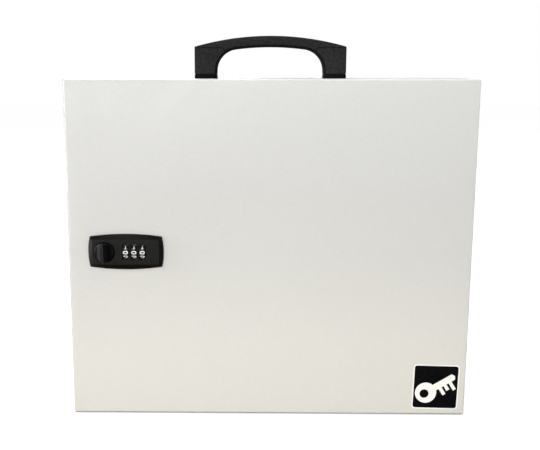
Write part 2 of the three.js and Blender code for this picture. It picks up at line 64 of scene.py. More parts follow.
FACE_Y = DOOR_LOW.y
TOP_Z = TRAY_HIGH.z
HALF_WIDTH = DOOR_HIGH.x
SHEET = 1.2 * MM
BEND = 1.8 * MM  # outer radius of the folds
FLANGE = 12.2 * MM  # how far the tray's front flanges reach in
LOCK_CUTOUT = (57 * MM, 24 * MM)  # width and height of the door's opening behind the faceplate
PLATE_X, _, PLATE_Z = centre_of("lock_faceplate")
PLATE_FACE_Y = FACE_Y - 5 * MM
AXIS = Vector(HINGES["door_hinge"]["pos_m"])
LABEL_TILT = 1.3  # degrees, clockwise from the front
HOOK_PITCH = 28 * MM
PRINT_LIFT = 0.03 * MM  # how far printed figures stand off what they are printed on


# ---- Camera, lights and floor ----

def in_scene(name, data):
    """A new object that holds the data, put in the scene."""
    thing = bpy.data.objects.new(name, data)
    bpy.context.scene.collection.objects.link(thing)
    return thing


def add_camera():
    """A short telephoto view from just above the top edge, with the frame shifted slightly sideways."""
    data = bpy.data.cameras.new("camera")
    data.sensor_width = 36
    data.lens = 55.87
    data.shift_x = 0.065
    camera = in_scene("camera", data)
    camera.location = Vector((-19.1, -764.8, 317.1)) * MM
    camera.rotation_euler = (math.radians(90 - 10.82), math.radians(0.014), math.radians(0.939))
    bpy.context.scene.camera = camera


def add_softbox(name, place, target, size, watts, colour=(1, 1, 1)):
    data = bpy.data.lights.new(name, "AREA")
    data.shape = "RECTANGLE"
    data.size, data.size_y = size
    data.energy = watts
    data.color = colour
    lamp = in_scene(name, data)
    lamp.location = place
    lamp.rotation_euler = (Vector(target) - Vector(place)).to_track_quat("-Z", "Y").to_euler()
    lamp.visible_camera = False
    return lamp


def map_range(tree, value, start, end, low, high):
    """A node that carries what lies from start to end over to the stretch from low to high."""
    ramp = tree.nodes.new("ShaderNodeMapRange")
    ramp.inputs["From Min"].default_value = start
    ramp.inputs["From Max"].default_value = end
    ramp.inputs["To Min"].default_value = low
    ramp.inputs["To Max"].default_value = high
    tree.links.new(value, ramp.inputs["Value"])
    return ramp


def add_surround(front, back):
    """Light all round, brighter behind the cabinet and dark below it; the camera sees plain white."""
    world = bpy.data.worlds.new("studio")
    world.use_nodes = True
    tree = world.node_tree
    nodes, links = tree.nodes, tree.links
    lit = nodes["Background"]
    seen = nodes.new("ShaderNodeBackground")
    towards = nodes.new("ShaderNodeSeparateXYZ")
    links.new(nodes.new("ShaderNodeTexCoord").outputs["Generated"], towards.inputs["Vector"])
    ramp = map_range(tree, towards.outputs["Y"], -0.1, 0.7, front, back)
    ramp.interpolation_type = "SMOOTHSTEP"
    height = map_range(tree, towards.outputs["Z"], -0.3, 0, 0.08, 1)
    both = nodes.new("ShaderNodeMath")
    both.operation = "MULTIPLY"
    links.new(ramp.outputs["Result"], both.inputs[0])
    links.new(height.outputs["Result"], both.inputs[1])
    links.new(both.outputs["Value"], lit.inputs["Strength"])
    lit.inputs["Color"].default_value = (1, 1, 1, 1)
    seen.inputs["Color"].default_value = (1, 1, 1, 1)
    mix = nodes.new("ShaderNodeMixShader")
    links.new(nodes.new("ShaderNodeLightPath").outputs["Is Camera Ray"], mix.inputs["Fac"])
    links.new(lit.outputs["Background"], mix.inputs[1])
    links.new(seen.outputs["Background"], mix.inputs[2])
    links.new(mix.outputs["Shader"], nodes["World Output"].inputs["Surface"])
    bpy.context.scene.world = world


def add_floor():
    """A white sweep that glows evenly, with a painted contact shadow where something all but touches it."""
    mesh = bpy.data.meshes.new("floor")
    mesh.from_pydata([(-6, -6, 0), (6, -6, 0), (6, 6, 0), (-6, 6, 0)], [], [(0, 1, 2, 3)])
    floor = in_scene("floor", mesh)
    floor.location.z = -0.2 * MM
    pale = Finish("floor_pale", (0.12, 0.12, 0.12), 0.9, specular=0.1)
    vary_colour(pale, (0.11, 0.11, 0.11), 3, 0.5)
    pale.shader.inputs["Emission Color"].default_value = (1, 1, 1, 1)
    # The glow is dimmed where ambient occlusion finds something within 2 mm: a painted contact shadow.
    contact_shadow_mask = pale.nodes.new("ShaderNodeAmbientOcclusion")
    contact_shadow_mask.inputs["Distance"].default_value = 2 * MM
    glow = pale.remap(contact_shadow_mask.outputs["AO"], 0.2, 0.95, 0, 0.9)
    pale.links.new(glow, pale.shader.inputs["Emission Strength"])
    mesh.materials.append(pale.material)
    floor.visible_diffuse = False
    floor.visible_glossy = False


def add_studio():
    """A large key light, dimmer ones all round, and two strips for the door's top and bottom edges."""
    middle = (0, 0, TOP_Z / 2)
    add_softbox("key", (-0.7, -3.3, 0.95), middle, (1.1, 1.1), 73.5, (0.995, 0.995, 1.0))
    add_softbox("side", (-2.0, -0.42, 0.5), middle, (0.7, 0.7), 12.5, (0.98, 0.99, 1.0))
    add_softbox("right", (2.2, -0.2, 0.6), middle, (0.9, 0.9), 16)
    low_strip = add_softbox("low_fill", (-0.03, -0.2, 0.02), (-0.03, 0, 0.02), (0.7, 0.03), 0.29,
                            (1.0, 0.94, 0.74))
    high_strip = add_softbox("high_fill", (0.13, -0.28, 0.38), (0.13, 0, 0.31), (0.5, 0.03), 0.28,
                             (0.94, 0.97, 1.0))
    for strip in (low_strip, high_strip):
        strip.visible_glossy = False
    add_softbox("overhead", (0, 0.4, 2.0), (0, 0.4, 0), (1.6, 0.8), 24, (0.98, 0.99, 1.0))
    card = add_softbox("side_card", (-1.0, -0.55, 0.3), (-0.15, 0, 0.15), (0.5, 0.5), 23)
    card.visible_diffuse = False
    add_softbox("back", (-0.7, 2.9, 1.3), middle, (1.2, 1.2), 52)
    add_surround(0.17, 0.36)
    add_floor()
    bpy.context.scene.view_settings.view_transform = "Standard"


# ---- Materials ----

class Finish:
    """A principled material with the texture coordinates and links that its details hang on."""

    def __init__(self, name, colour, roughness, metallic=0.0, specular=0.5):
        self.material = bpy.data.materials.new(name)
        self.material.use_nodes = True
        self.material.diffuse_color = (*colour, 1)
        self.nodes = self.material.node_tree.nodes
        self.links = self.material.node_tree.links
        self.shader = self.nodes["Principled BSDF"]
        self.shader.inputs["Base Color"].default_value = (*colour, 1)
        self.shader.inputs["Roughness"].default_value = roughness
        self.shader.inputs["Metallic"].default_value = metallic
        self.shader.inputs["Specular IOR Level"].default_value = specular
        self.place = self.nodes.new("ShaderNodeTexCoord").outputs["Object"]

    def noise(self, scale, detail=2.0, stretch=(1, 1, 1)):
        mapping = self.nodes.new("ShaderNodeMapping")
        mapping.inputs["Scale"].default_value = stretch
        self.links.new(self.place, mapping.inputs["Vector"])
        noise = self.nodes.new("ShaderNodeTexNoise")
        noise.inputs["Scale"].default_value = scale
        noise.inputs["Detail"].default_value = detail
        self.links.new(mapping.outputs["Vector"], noise.inputs["Vector"])
        return noise.outputs["Fac"]

    def remap(self, value, low, high, start=0.3, end=0.7):
        return map_range(self.material.node_tree, value, start, end, low, high).outputs["Result"]


def vary_colour(finish, other, scale, share=1.0, stretch=(1, 1, 1), detail=3.0):
    """Drifts the base colour towards another one in soft patches."""
    mix = finish.nodes.new("ShaderNodeMix")
    mix.data_type = "RGBA"
    socket = finish.shader.inputs["Base Color"]
    if socket.is_linked:
        finish.links.new(socket.links[0].from_socket, mix.inputs[6])
    else:
        mix.inputs[6].default_value = socket.default_value
    mix.inputs[7].default_value = (*other, 1)
    amount = finish.remap(finish.noise(scale, detail, stretch), 0, share)
    finish.links.new(amount, mix.inputs[0])
    finish.links.new(mix.outputs[2], socket)


def vary_roughness(finish, low, high, scale, stretch=(1, 1, 1), detail=3.0):
    amount = finish.remap(finish.noise(scale, detail, stretch), low, high)
    finish.links.new(amount, finish.shader.inputs["Roughness"])


def add_bump(finish, scale, depth_mm, strength=1.0, detail=2.0, stretch=(1, 1, 1)):
    """Adds one more layer of surface relief, that many millimetres deep."""
    bump = finish.nodes.new("ShaderNodeBump")
    bump.inputs["Strength"].default_value = strength
    bump.inputs["Distance"].default_value = depth_mm * MM
    finish.links.new(finish.noise(scale, detail, stretch), bump.inputs["Height"])
    socket = finish.shader.inputs["Normal"]
    if socket.is_linked:
        finish.links.new(socket.links[0].from_socket, bump.inputs["Normal"])
    finish.links.new(bump.outputs["Normal"], socket)


def powder_coat():
    finish = Finish("powder_coat", (0.678, 0.673, 0.652), 0.5)
    vary_colour(finish, (0.660, 0.652, 0.626), 9, 0.5)
    vary_colour(finish, (0.735, 0.730, 0.707), 480, 0.42, (1, 1, 1.8), 2.0)
    vary_roughness(finish, 0.42, 0.58, 60)
    add_bump(finish, 520, 0.05, 0.5, 3.0)
    add_bump(finish, 1900, 0.02, 0.6, 1.0)
    return finish.material


def zinc_plate():
    finish = Finish("zinc_plate", (0.60, 0.61, 0.62), 0.34, 1.0)
    vary_colour(finish, (0.66, 0.64, 0.58), 120, 0.7)
    vary_roughness(finish, 0.26, 0.46, 260, (1, 1, 5))
    add_bump(finish, 900, 0.01, 0.5, 2.0, (1, 1, 6))
    return finish.material


def rivet_aluminium():
    finish = Finish("rivet_aluminium", (0.78, 0.78, 0.79), 0.38, 1.0)
    vary_colour(finish, (0.68, 0.68, 0.69), 500, 0.6)
    vary_roughness(finish, 0.3, 0.5, 700)
    return finish.material


def spring_steel():
    finish = Finish("spring_steel", (0.42, 0.43, 0.45), 0.3, 1.0)
    vary_colour(finish, (0.50, 0.46, 0.40), 300, 0.6)
    vary_roughness(finish, 0.22, 0.4, 400, (6, 1, 1))
    return finish.material


def moulded_nylon():
    finish = Finish("moulded_nylon", (0.009, 0.0091, 0.0091), 0.55, specular=0.05)
    vary_colour(finish, (0.032, 0.0322, 0.0322), 1200, 0.8, detail=1.0)
    vary_roughness(finish, 0.50, 0.66, 240)
    add_bump(finish, 1500, 0.05, 0.45, 2.0)
    add_bump(finish, 160, 0.06, 0.25, 2.0)
    return finish.material


def smooth_nylon():
    """Ungrained plastic for the handle's feet, its seam floors and the inside of the finger gap, darker than
    the grip as painted shade.
    """
    # The base colour is darker than the grip's: painted shade, not a different plastic.
    finish = Finish("smooth_nylon", (0.0025, 0.0025, 0.003), 0.7, specular=0.05)
    vary_colour(finish, (0.004, 0.004, 0.005), 200, 0.7)
    vary_roughness(finish, 0.6, 0.8, 300)
    return finish.material


def lock_plastic():
    finish = Finish("lock_plastic", (0.004, 0.004, 0.0038), 0.4, specular=0.1)
    vary_colour(finish, (0.007, 0.007, 0.0065), 200, 0.7)
    vary_roughness(finish, 0.34, 0.5, 500)
    add_bump(finish, 2600, 0.02, 0.3, 1.0)
    return finish.material


def spark_texture():
    """The coarse matt texture on the lock's flat face."""
    finish = Finish("lock_spark_texture", (0.006, 0.006, 0.0058), 0.6, specular=0.06)
    vary_colour(finish, (0.023, 0.023, 0.0225), 1700, 0.9, detail=1.0)
    vary_roughness(finish, 0.5, 0.75, 1200)
    add_bump(finish, 1700, 0.09, 0.8, 2.0)
    return finish.material


def knob_plastic():
    """The knob is smoother than the plate, so its scoops catch the light."""
    finish = Finish("knob_plastic", (0.0008, 0.0008, 0.0008), 0.36, specular=0.13)
    vary_colour(finish, (0.0016, 0.0016, 0.0015), 300, 0.7)
    vary_roughness(finish, 0.33, 0.39, 400)
    return finish.material


def dial_plastic():
    finish = Finish("dial_plastic", (0.004, 0.004, 0.004), 0.35, specular=0.25)
    vary_colour(finish, (0.008, 0.008, 0.008), 400, 0.8)
    vary_roughness(finish, 0.28, 0.42, 600)
    return finish.material


def digit_white():
    finish = Finish("digit_white", (0.86, 0.86, 0.84), 0.5)
    vary_colour(finish, (0.74, 0.74, 0.72), 900, 0.6)
    vary_roughness(finish, 0.4, 0.6, 900)
    return finish.material


def label_vinyl(name, colour, other, specular=0.3):
    finish = Finish(name, colour, 0.34, specular=specular)
    vary_colour(finish, other, 260, 0.8)
    vary_roughness(finish, 0.28, 0.42, 180)
    add_bump(finish, 420, 0.01, 0.3)
    return finish.material


def printed_ink():
    finish = Finish("printed_ink", (0.03, 0.032, 0.036), 0.6)
    vary_colour(finish, (0.055, 0.057, 0.062), 1200, 0.8)
    vary_roughness(finish, 0.5, 0.7, 800)
    return finish.material


def card_stock():
    finish = Finish("card_stock", (0.84, 0.83, 0.79), 0.85)
    vary_colour(finish, (0.79, 0.775, 0.73), 25, 0.6)
    vary_colour(finish, (0.87, 0.865, 0.83), 1400, 0.5)
    vary_roughness(finish, 0.78, 0.92, 300)
    add_bump(finish, 1600, 0.02, 0.5, 4.0)
    return finish.material


def frosted_pvc():
    finish = Finish("frosted_pvc", (0.80, 0.82, 0.84), 0.32)
    vary_colour(finish, (0.74, 0.76, 0.79), 40, 0.7)
    vary_roughness(finish, 0.24, 0.42, 120)
    add_bump(finish, 700, 0.02, 0.4)
    return finish.material


# ---- Mesh tools ----

def new_piece(name, mesh, materials, body, stands_for=(), crease=32):
    """Puts a finished mesh on its body, smooth except across edges sharper than crease degrees."""
    piece = in_scene(name, mesh)
    indices = [min(polygon.material_index, len(materials) - 1) for polygon in mesh.polygons]
    mesh.materials.clear()
    for material in materials:
        mesh.materials.append(material)
    for polygon, index in zip(mesh.polygons, indices):
        polygon.material_index = index
    mesh.shade_smooth()
    mesh.set_sharp_from_angle(angle=math.radians(crease))
    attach(piece, body)
    if stands_for:
        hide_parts(*stands_for)
    return piece


def mesh_from(name, verts, faces):
    mesh = bpy.data.meshes.new(name)
    mesh.from_pydata([tuple(v) for v in verts], [], faces)
    mesh.validate()
    work = bmesh.new()
    work.from_mesh(mesh)
    bmesh.ops.recalc_face_normals(work, faces=work.faces)
    work.to_mesh(mesh)
    work.free()
    return mesh


def to_mesh(work, name):
    """Ends the work on a bmesh and returns it as a mesh."""
    mesh = bpy.data.meshes.new(name)
    work.to_mesh(mesh)
    work.free()
    return mesh


def ring_mesh(name, rings):
    """A closed mesh through rings of equally many points, with a flat cap at both ends."""
    count = len(rings[0])
    verts = [point for ring in rings for point in ring]
    faces = []
    for base in range(0, len(verts) - count, count):
        for n in range(count):
            m = (n + 1) % count
            faces.append((base + n, base + m, base + count + m, base + count + n))
    faces.append(tuple(range(count)))
    faces.append(tuple(reversed(range(len(verts) - count, len(verts)))))
    return mesh_from(name, verts, faces)


def painted(mesh, index):
    """Gives every face of the mesh the piece's material with that index."""
    for polygon in mesh.polygons:
        polygon.material_index = index
    return mesh


def ring_points(cx, cz, radius, count=40):
    """A circle, counter-clockwise in X and Z."""
    angles = [2 * math.pi * n / count for n in range(count)]
    return [(cx + radius * math.cos(angle), cz + radius * math.sin(angle)) for angle in angles]


def rounded_square(cx, cz, half_w, half_h, corner, steps=8):
    """The outline of a rectangle with round corners, counter-clockwise in X and Z."""
    points = []
    for quarter, (sign_x, sign_z) in enumerate(((1, 1), (-1, 1), (-1, -1), (1, -1))):
        for n in range(steps + 1):
            angle = math.pi / 2 * (quarter + n / steps)
            points.append((cx + sign_x * (half_w - corner) + corner * math.cos(angle),
                           cz + sign_z * (half_h - corner) + corner * math.sin(angle)))
    return points


def soft_block(low, high, radius=0.0, segments=5):
    """A box between two corners whose edges are all rounded to one radius."""
    low, high = Vector(low), Vector(high)
    work = bmesh.new()
    bmesh.ops.create_cube(work, size=1.0)
    bmesh.ops.scale(work, vec=high - low, verts=work.verts)
    bmesh.ops.translate(work, vec=(low + high) / 2, verts=work.verts)
    if radius:
        bmesh.ops.bevel(work, geom=list(work.edges), offset=radius, segments=segments, profile=0.5,
                        affect="EDGES", clamp_overlap=False)
    return to_mesh(work, "block")


def round_bar(radius, centre, length, axis, sides=32, edge=0.0):
    """A cylinder from centre along axis, with a chamfer on both rims."""
    work = bmesh.new()
    bmesh.ops.create_cone(work, cap_ends=True, segments=sides, radius1=radius, radius2=radius, depth=length)
    if edge:
        rims = [e for e in work.edges if abs(e.verts[0].co.z - e.verts[1].co.z) < 1e-9]
        bmesh.ops.bevel(work, geom=rims, offset=edge, segments=2, profile=0.5, affect="EDGES")
    bmesh.ops.translate(work, vec=(0, 0, length / 2), verts=work.verts)
    turn = Vector((0, 0, 1)).rotation_difference(Vector(axis)).to_matrix().to_4x4()
    bmesh.ops.transform(work, matrix=Matrix.Translation(centre) @ turn, verts=work.verts)
    return to_mesh(work, "bar")


def evaluated(thing):
    """The mesh that an object gives, with its modifiers applied."""
    bpy.context.view_layer.update()
    return bpy.data.meshes.new_from_object(thing.evaluated_get(bpy.context.evaluated_depsgraph_get()))


def cut(mesh, *cutters):
    """The mesh with every cutter taken out of it."""
    target = in_scene("work", mesh)
    tools = [in_scene("tool", cutter) for cutter in cutters]
    for tool in tools:
        modifier = target.modifiers.new("boolean", "BOOLEAN")
        modifier.operation = "DIFFERENCE"
        modifier.solver = "EXACT"
        modifier.object = tool
    result = evaluated(target)
    for item in [target, *tools]:
        bpy.data.objects.remove(item)
    return result


def gather(*meshes):
    """One mesh holding several separate shells, with their material indices kept."""
    work = bmesh.new()
    for mesh in meshes:
        work.from_mesh(mesh)
    return to_mesh(work, "gathered")


def soften(mesh, width, angle=30):
    """Rounds every edge sharper than angle degrees, once flat areas are single faces again."""
    work = bmesh.new()
    work.from_mesh(mesh)
    bmesh.ops.remove_doubles(work, verts=work.verts, dist=0.002 * MM)
    bmesh.ops.dissolve_limit(work, angle_limit=math.radians(1), verts=work.verts, edges=work.edges)
    sharp = [e for e in work.edges if len(e.link_faces) == 2 and e.calc_face_angle(0) > math.radians(angle)]
    bmesh.ops.bevel(work, geom=sharp, offset=width, segments=2, profile=0.5, affect="EDGES",
                    clamp_overlap=True)
    work.to_mesh(mesh)
    work.free()
    return mesh


def refined(node, material, body, width, angle=30):
    """The CAD node's own shape with its edges rounded."""
    mesh = soften(frame["nodes"][node].data.copy(), width, angle)
    return new_piece(f"{node}_piece", mesh, [material], body, [node])


def flat_text(words, height, width_scale=1.0, weight=0.0):
    """Digits as a flat mesh in X and Z, centred, that tall."""
    curve = bpy.data.curves.new("text", "FONT")
    curve.body = words
    curve.align_x = "CENTER"
    curve.offset = weight
    holder = in_scene("text", curve)
    mesh = evaluated(holder)
    bpy.data.objects.remove(holder)
    xs = [v.co.x for v in mesh.vertices]
    ys = [v.co.y for v in mesh.vertices]
    middle_x, middle_y = (min(xs) + max(xs)) / 2, (min(ys) + max(ys)) / 2
    scale = height / (max(ys) - min(ys))
    for vertex in mesh.vertices:
        across = (vertex.co.x - middle_x) * scale * width_scale
        vertex.co = (across, 0, (vertex.co.y - middle_y) * scale)
    return mesh


def moved(mesh, x, y, z):
    mesh.transform(Matrix.Translation((x, y, z)))
    return mesh


# ---- Sheet-metal cabinet ----

def shell_block(inset, y0, y1):
    """The outline that the door and the tray share, that far inside their outer faces."""
    radius = BEND - inset
    low = (-HALF_WIDTH + inset, y0, DOOR_LOW.z + inset)
    high = (HALF_WIDTH - inset, y1, DOOR_HIGH.z - inset)
    return soft_block(low, high, radius, 6)


def hinge_slot():
    """The cutter for the opening in the right edge where the hinge's barrel lies, half of it in the door."""
    depth, half_width, below, above = 2.4 * MM, 2.75 * MM, 1.2 * MM, 0.5 * MM
    pin_low, pin_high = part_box("hinge_pin")
    return soft_block((HALF_WIDTH - depth, AXIS.y - half_width, pin_low.z - below),
                      (HALF_WIDTH + 1 * MM, AXIS.y + half_width, pin_high.z + above))


def back_hole(x, z, radius, sides):
    """The cutter for a round hole through the back panel."""
    return round_bar(radius, (x, TRAY_HIGH.y - 5 * MM, z), 10 * MM, (0, 1, 0), sides)


def build_door(paint):
    """A pan whose edges are folded back all round, with an opening for the lock."""
    reach = DOOR_HIGH.y + 10 * MM
    half_cutout = Vector((LOCK_CUTOUT[0], 0, LOCK_CUTOUT[1])) / 2
    lock = Vector((PLATE_X, FACE_Y, PLATE_Z))
    inside = shell_block(SHEET, FACE_Y + SHEET, reach)
    behind = soft_block((-1, DOOR_HIGH.y, -1), (1, reach + 0.1, 1))
    cutout = soft_block(lock - half_cutout - Vector((0, 1 * MM, 0)),
                        lock + half_cutout + Vector((0, 3 * MM, 0)))
    mesh = cut(shell_block(0, FACE_Y, reach), inside, behind, hinge_slot(), cutout)
    new_piece("door_pan", mesh, [paint], "door", ["door_panel"])


def build_tray(paint):
    """A box that is open at the front, with flanges turned in on all sides but the hinge's."""
    y0, y1 = TRAY_LOW.y, TRAY_HIGH.y
    inside = shell_block(SHEET, y0 + SHEET, y1 - SHEET)
    mouth = soft_block((-HALF_WIDTH + FLANGE, y0 - 5 * MM, FLANGE),
                       (HALF_WIDTH - SHEET, y0 + 3 * MM, TOP_Z - FLANGE))
    wall_hole, rivet_hole, half_slit = 3.25 * MM, 1.95 * MM, 0.12 * MM
    holes = [back_hole(x * MM, z * MM, wall_hole, 40) for x in (-150, 150) for z in (18, 291)]
    for node in [n for n in frame["nodes"] if n.startswith("rail_rivet")]:
        x, _, z = centre_of(node)
        holes.append(back_hole(x, z, rivet_hole, 24))
    mitres = []
    for z, tilt in ((FLANGE / 2, 1), (TOP_Z - FLANGE / 2, -1)):
        slit = soft_block((-12 * MM, -2 * MM, -half_slit), (12 * MM, 0.5 * MM, half_slit))
        slit.transform(Matrix.Rotation(math.radians(-45 * tilt), 4, "Y"))
        mitres.append(moved(slit, -HALF_WIDTH + FLANGE / 2, y0, z))
    mesh = cut(shell_block(0, y0, y1), inside, mouth, hinge_slot(), *holes, *mitres)
    new_piece("cabinet_tray", mesh, [paint], "cabinet", ["cabinet_body"])


# ---- Piano hinge ----

def build_hinge(zinc):
    """Leaves and knuckles follow the CAD's own pitch, with round barrels and chamfered ends."""
    radius, leaf, clear, count, gap = 2.3 * MM, 0.8 * MM, 2.9 * MM, 15, 0.5 * MM
    halves = (("hinge_leaf_body", "cabinet", 0, 1), ("hinge_leaf_door", "door", 1, -1))
    low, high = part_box("hinge_leaf_body")
    pitch = (high.z - low.z) / count
    left = AXIS.x - radius
    for node, body, first, side in halves:
        box_low, box_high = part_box(node)
        near = AXIS.y + side * clear
        y0, y1 = sorted((near, box_high.y if side > 0 else box_low.y))
        parts = [soft_block((left, y0, low.z), (left + leaf, y1, high.z), 0.15 * MM, 2)]
        for knuckle in range(first, count, 2):
            z0 = low.z + knuckle * pitch + gap / 2
            z1 = z0 + pitch - gap
            y0, y1 = sorted((AXIS.y, near + side * 1 * MM))
            parts.append(soft_block((left, y0, z0), (left + leaf, y1, z1), 0.1 * MM, 1))
            parts.append(round_bar(radius, (AXIS.x, AXIS.y, z0), z1 - z0, (0, 0, 1), 36, 0.2 * MM))
        new_piece(f"{node}_rolled", gather(*parts), [zinc], body, [node])
    low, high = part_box("hinge_pin")
    head = 1.2 * MM
    pin = gather(
        round_bar(0.95 * MM, (AXIS.x, AXIS.y, low.z), high.z - low.z - 1 * MM, (0, 0, 1), 24, 0.2 * MM),
        round_bar(2.0 * MM, (AXIS.x, AXIS.y, high.z - head), head, (0, 0, 1), 32, 0.3 * MM))
    new_piece("hinge_pin_turned", pin, [zinc], "cabinet", ["hinge_pin"])


# ---- Handle ----

def ray_to_circle(start, direction, centre, radius):
    """The far point where a ray crosses a circle."""
    offset = start - centre
    along = offset.dot(direction)
    return start + direction * (math.sqrt(along * along - offset.dot(offset) + radius * radius) - along)


SEAM_DEPTH = 0.45 * MM
FOOT_HEIGHT = 3.58 * MM


class BowOutline:
    """The handle seen from the front, in X and height over the cabinet's top."""

    half = (HANDLE_HIGH.x - HANDLE_LOW.x) / 2
    crown = HANDLE_HIGH.z - TOP_Z
    end = 28 * MM
    gap_half = 47.4 * MM
    gap_side = 6.75 * MM
    gap_corner = 19 * MM
    gap_vault = 240 * MM
    end_round = 1.3 * MM

    def __init__(self):
        rise = self.crown - self.end
        self.crown_radius = (self.half ** 2 + rise ** 2) / (2 * rise)
        self.crown_centre = Vector((0, self.crown - self.crown_radius))
        across = self.half - self.end_round
        height = math.sqrt((self.crown_radius - self.end_round) ** 2 - across ** 2)
        self.end_centre = Vector((-across, self.crown_centre.y + height))
        run = self.gap_vault - self.gap_corner
        self.lean = math.asin((self.gap_half - self.gap_corner) / run)
        self.vault_centre = Vector((0, self.gap_side - run * math.cos(self.lean)))

    def outside(self, start, direction):
        """Where a ray leaves the outline's left half: by the side, the crown or the round between them."""
        point = ray_to_circle(start, direction, self.crown_centre, self.crown_radius)
        if point.x < -self.half:
            point = start + direction * ((-self.half - start.x) / direction.x)
        if point.x < self.end_centre.x and point.y > self.end_centre.y:
            point = ray_to_circle(start, direction, self.end_centre, self.end_round)
        return point

    def section(self, centre, radius, angle):
        """Where a ray from one of the gap's arc centres crosses the gap's edge and the outline."""
        direction = Vector((math.cos(angle), math.sin(angle)))
        return (centre + radius * direction, self.outside(centre, direction), 0)

    def leg_stations(self):
        """Level sections of the left leg: inner point, outer point, inset. A groove runs round the foot."""
        levels = [(0.2, 0), (3.55, 0), (3.6, 0.5), (4.2, 0.5), (4.4, 0)]
        return [(Vector((-self.gap_half, z * MM)), Vector((-self.half, z * MM)), inset * MM)
                for z, inset in levels]

    def shoulder_stations(self):
        """Sections that turn round the corner of the finger gap."""
        start = Vector((-self.gap_half + self.gap_corner, self.gap_side))
        sweep = math.pi / 2 - self.lean
        angles = [math.pi - sweep * n / 18 for n in range(19)]
        for n in range(7):
            turn = math.pi - n / 6 * math.pi / 2
            spot = self.end_centre + self.end_round * Vector((math.cos(turn), math.sin(turn))) - start
            angles.append(math.atan2(spot.y, spot.x))
        return [self.section(start, self.gap_corner, angle) for angle in sorted(angles, reverse=True)]

    def grip_stations(self):
        """Sections over the shallow vault, up to the middle."""
        angles = [math.pi / 2 + self.lean * (1 - n / 14) for n in range(1, 15)]
        return [self.section(self.vault_centre, self.gap_vault, angle) for angle in angles]

    def stations(self):
        left = self.leg_stations() + self.shoulder_stations() + self.grip_stations()
        right = [(Vector((-a.x, a.y)), Vector((-b.x, b.y)), inset) for a, b, inset in reversed(left[:-1])]
        return left + right

    def gap_distance(self, x, z):
        """How far a point is from the edge of the finger gap, seen from the front."""
        side = Vector((abs(x) - self.gap_half + self.gap_corner, z - self.gap_side))
        if side.y < 0:
            return side.x - self.gap_corner
        if math.atan2(side.y, side.x) < math.pi / 2 - self.lean:
            return side.length - self.gap_corner
        return (Vector((x, z)) - self.vault_centre).length - self.gap_vault


def bow_ring(near, far, inset, outer_round):
    """A section from the finger gap to the outline: flared towards the gap, rounded on the outside."""
    along = (far - near).normalized()
    length = (far - near).length
    y0, y1 = HANDLE_LOW.y, HANDLE_HIGH.y
    flare = (2.5 * MM, 7.5 * MM)
    outside = (outer_round, outer_round)
    corners = [(0, y0, flare, 1, 1), (length, y0, outside, -1, 1), (length, y1, outside, -1, -1),
               (0, y1, flare, 1, -1)]
    steps = 9
    ring = []
    for n, (across, y, (wide, deep), into, back) in enumerate(corners):
        for m in range(steps):
            angle = math.pi / 2 * m / (steps - 1)
            if n in (1, 3):
                angle = math.pi / 2 - angle
            reach = wide - (wide - inset) * math.cos(angle)
            sink = deep - (deep - inset) * math.sin(angle)
            point = near + along * (across + into * reach)
            ring.append((point.x, y + back * sink, point.y))
    return ring


def bow_mesh(outline):
    """All the sections joined up. The outer round grows from the legs' ends towards the middle."""
    least, growth, run = 1.2 * MM, 0.9 * MM, 18 * MM
    rings = []
    for near, far, inset in outline.stations():
        share = min(max((outline.half - abs(far.x)) / run, 0), 1)
        rings.append(bow_ring(near, far, inset, least + growth * share))
    return ring_mesh("bow", rings)


def seam_cutters():
    """Thin slots for the parting line between each leg and the grip, on the front and the back."""
    depth, width = SEAM_DEPTH, 0.55 * MM
    level, bend_x, gap_x, gap_z = 27.1 * MM, 42.7 * MM, 37.8 * MM, 22.8 * MM
    slope = math.atan2(level - gap_z, bend_x - gap_x)
    cutters = []
    for side in (-1, 1):
        for face, back in ((HANDLE_LOW.y, -1), (HANDLE_HIGH.y, 1)):
            y0, y1 = sorted((face + back * 1 * MM, face - back * depth))
            x0, x1 = sorted((side * (bend_x - width / 2), side * (HANDLE_HIGH.x + 1 * MM)))
            cutters.append(soft_block((x0, y0, level - width / 2), (x1, y1, level + width / 2)))
            length = math.hypot(bend_x - gap_x, level - gap_z) + 1.5 * MM
            bar = soft_block((-length, y0, -width / 2), (0, y1, width / 2))
            if side < 0:
                bar.transform(Matrix.Scale(-1, 4, (1, 0, 0)))
                bar.flip_normals()
            bar.transform(Matrix.Rotation(-side * slope, 4, "Y"))
            cutters.append(moved(bar, side * bend_x, 0, level))
    return cutters


def build_handle(nylon, smooth):
    """The grained bow, smoother round its feet, in its seams and inside the finger gap, and darker there as
    painted shade.
    """
    outline = BowOutline()
    mesh = cut(bow_mesh(outline), *seam_cutters())
    # The darker plastic goes where the handle lies in shade: a painted shadow on the feet, the seam floors
    # and the gap's inner walls.
    for polygon in mesh.polygons:
        place = polygon.center
        level = abs(polygon.normal.y) > 0.93
        in_gap = not level and outline.gap_distance(place.x, place.z) < 2.1 * MM
        in_seam = level and min(place.y - HANDLE_LOW.y, HANDLE_HIGH.y - place.y) > 0.7 * SEAM_DEPTH
        polygon.material_index = 1 if in_gap or in_seam or place.z < FOOT_HEIGHT else 0
    bow = moved(mesh, 0, 0, TOP_Z)
    new_piece("bow_handle", bow, [nylon, smooth], "cabinet", ["handle"], 38)


# ---- Hook rails ----

def bent_strip(path, thickness, x0, x1):
    """A strip of sheet that follows a path of (y, z) points, between two stations along X."""
    left, right = [], []
    for n, point in enumerate(path):
        before = path[max(n - 1, 0)]
        after = path[min(n + 1, len(path) - 1)]
        along = (after - before).normalized()
        side = Vector((-along.y, along.x)) * thickness / 2
        left.append(point + side)
        right.append(point - side)
    outline = left + right[::-1]
    count = len(outline)
    verts = [(x, p.x, p.y) for x in (x0, x1) for p in outline]
    faces = [(n, (n + 1) % count, count + (n + 1) % count, count + n) for n in range(count)]
    last = len(path) - 1
    for n in range(last):
        mirror = count - 1 - n
        faces.append((n, n + 1, mirror - 1, mirror))
        faces.append((count + n + 1, count + n, count + mirror, count + mirror - 1))
    return mesh_from("strip", verts, faces)


